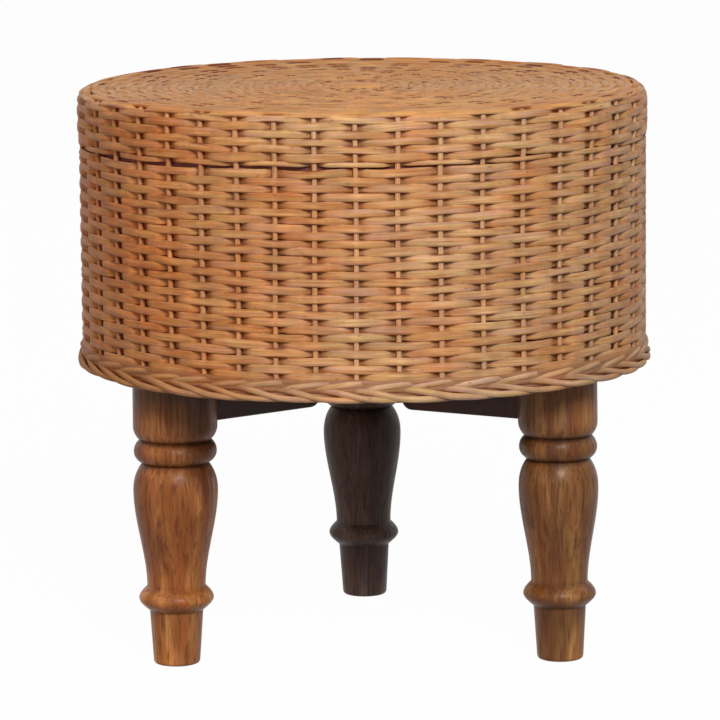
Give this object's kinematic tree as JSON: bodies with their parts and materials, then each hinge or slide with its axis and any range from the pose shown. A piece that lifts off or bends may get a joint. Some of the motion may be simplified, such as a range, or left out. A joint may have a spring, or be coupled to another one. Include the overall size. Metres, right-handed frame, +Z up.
{
  "type": "woven drum stool",
  "caption": "Round drum stool or footstool: woven cane over a boarded frame, on turned wooden legs with rails under the drum.",
  "frame": {"origin": "on the floor, under the middle of the seat", "axes": "+Z up; the front, midway between two legs, faces -Y, and the third leg stands at +Y; +X is to the right seen from the front"},
  "size_m": [0.4585, 0.4594, 0.45],
  "materials": {
    "cane": "natural cane with a thin clear varnish",
    "turned_wood": "mid brown stain, satin varnish",
    "dark_wood": "dark stain, matte",
    "plain_wood": "unfinished softwood",
    "bentwood": "unfinished bentwood",
    "plywood": "unfinished plywood",
    "steel": "zinc plated"
  },
  "bodies": {
    "root": {"leg_left": "turned_wood", "rail_left": "dark_wood", "leg_bolt_left": "steel", "leg_washer_left": "steel", "rail_screw_left_1": "steel", "rail_screw_left_2": "steel", "leg_right": "turned_wood", "rail_right": "dark_wood", "leg_bolt_right": "steel", "leg_washer_right": "steel", "rail_screw_right_1": "steel", "rail_screw_right_2": "steel", "leg_back": "turned_wood", "rail_back": "dark_wood", "leg_bolt_back": "steel", "leg_washer_back": "steel", "rail_screw_back_1": "steel", "rail_screw_back_2": "steel", "base_board": "plywood", "seat_board": "plywood", "post_1": "plain_wood", "post_screw_low_1": "steel", "post_screw_high_1": "steel", "post_2": "plain_wood", "post_screw_low_2": "steel", "post_screw_high_2": "steel", "post_3": "plain_wood", "post_screw_low_3": "steel", "post_screw_high_3": "steel", "post_4": "plain_wood", "post_screw_low_4": "steel", "post_screw_high_4": "steel", "post_5": "plain_wood", "post_screw_low_5": "steel", "post_screw_high_5": "steel", "post_6": "plain_wood", "post_screw_low_6": "steel", "post_screw_high_6": "steel", "top_hoop": "bentwood", "middle_hoop": "bentwood", "bottom_hoop": "bentwood", "woven_seat": "cane", "woven_wall": "cane", "wale_band": "cane", "border_plait": "cane"}
  },
  "joints": []
}
